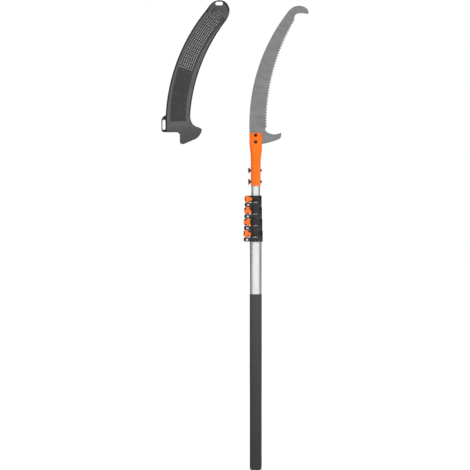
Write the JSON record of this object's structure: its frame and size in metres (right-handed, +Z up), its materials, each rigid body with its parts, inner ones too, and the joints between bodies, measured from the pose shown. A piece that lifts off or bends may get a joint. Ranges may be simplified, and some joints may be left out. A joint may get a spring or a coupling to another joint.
{
  "type": "telescoping pole saw",
  "caption": "Curved pruning saw blade on a telescoping aluminium pole with knob clamps on the joints, shown pushed in, and its perforated two-shell sheath beside it.",
  "frame": {"origin": "centre of the flat on the butt end of the pole", "axes": "+Z up the pole from the butt to the blade, +X towards the teeth, -Y towards the clamp knobs"},
  "size_m": [0.4417, 0.0503, 1.4085],
  "materials": {
    "tube": "drawn and clear anodised, satin, with fine lines along the tube",
    "grip": "dark grey shrink sleeve, fine matt texture",
    "dark_plastic": "moulded, satin",
    "collar": "glass-filled moulding, satin, dark grey",
    "knob": "orange moulding, semi-gloss",
    "bush": "natural nylon",
    "zinc_steel": "zinc plated",
    "black_steel": "black oxide, slightly worn edges",
    "orange_paint": "glossy orange coating",
    "blade_steel": "ground flat, fine grain, bright teeth",
    "sheath": "moulded polypropylene, dark grey, satin"
  },
  "bodies": {
    "handle": {"butt_plug": "dark_plastic", "grip_sleeve": "grip", "tube_1": "tube", "clamp_collar_1": "collar", "clamp_nut_1": "zinc_steel", "skirt_screw_1": "zinc_steel", "skirt_nut_1": "zinc_steel"},
    "section_2": {"guide_bush_2": "bush", "tube_2": "tube", "clamp_collar_2": "collar", "clamp_nut_2": "zinc_steel", "skirt_screw_2": "zinc_steel", "skirt_nut_2": "zinc_steel"},
    "section_3": {"guide_bush_3": "bush", "tube_3": "tube", "clamp_collar_3": "collar", "clamp_nut_3": "zinc_steel", "skirt_screw_3": "zinc_steel", "skirt_nut_3": "zinc_steel"},
    "section_4": {"guide_bush_4": "bush", "tube_4": "tube", "clamp_collar_4": "collar", "clamp_nut_4": "zinc_steel", "skirt_screw_4": "zinc_steel", "skirt_nut_4": "zinc_steel"},
    "head": {"guide_bush_5": "bush", "tube_5": "tube", "blade_socket": "orange_paint", "cross_bolt_1": "black_steel", "cross_bolt_2": "black_steel", "blade_screw_1": "black_steel", "blade_screw_2": "black_steel", "blade_nut_1": "zinc_steel", "blade_nut_2": "zinc_steel", "saw_blade": "blade_steel"},
    "knob_1": {"clamp_knob_1": "knob", "clamp_stud_1": "zinc_steel"},
    "knob_2": {"clamp_knob_2": "knob", "clamp_stud_2": "zinc_steel"},
    "knob_3": {"clamp_knob_3": "knob", "clamp_stud_3": "zinc_steel"},
    "knob_4": {"clamp_knob_4": "knob", "clamp_stud_4": "zinc_steel"},
    "wing_1": {"wing_nut_1": "black_steel"},
    "wing_2": {"wing_nut_2": "black_steel"},
    "sheath": {"sheath_back": "sheath", "sheath_front": "sheath"}
  },
  "joints": [
    {"name": "section_2_slide", "type": "slide", "parent": "handle", "child": "section_2", "axis": [0, 0, 1], "range_m": [0, 0.56]},
    {"name": "section_3_slide", "type": "slide", "parent": "section_2", "child": "section_3", "axis": [0, 0, 1], "range_m": [0, 0.56]},
    {"name": "section_4_slide", "type": "slide", "parent": "section_3", "child": "section_4", "axis": [0, 0, 1], "range_m": [0, 0.56]},
    {"name": "head_slide", "type": "slide", "parent": "section_4", "child": "head", "axis": [0, 0, 1], "range_m": [0, 0.56]},
    {"name": "knob_1_turn", "type": "hinge", "parent": "handle", "child": "knob_1", "pos_m": [-0.026, 0, 0.708], "axis": [0, 1, 0], "continuous": true},
    {"name": "knob_2_turn", "type": "hinge", "parent": "section_2", "child": "knob_2", "pos_m": [-0.02493, 0, 0.7426], "axis": [0, 1, 0], "continuous": true},
    {"name": "knob_3_turn", "type": "hinge", "parent": "section_3", "child": "knob_3", "pos_m": [-0.02386, 0, 0.7772], "axis": [0, 1, 0], "continuous": true},
    {"name": "knob_4_turn", "type": "hinge", "parent": "section_4", "child": "knob_4", "pos_m": [-0.02279, 0, 0.8118], "axis": [0, 1, 0], "continuous": true},
    {"name": "wing_1_turn", "type": "hinge", "parent": "head", "child": "wing_1", "pos_m": [-0.0148, 0, 0.864], "axis": [1, 0, 0], "continuous": true},
    {"name": "wing_2_turn", "type": "hinge", "parent": "head", "child": "wing_2", "pos_m": [-0.0148, 0, 0.898], "axis": [1, 0, 0], "continuous": true},
    {"name": "sheath_draw", "type": "slide", "parent": "head", "child": "sheath", "axis": [1, 0, 0], "range_m": [-0.1, 0.12]}
  ]
}
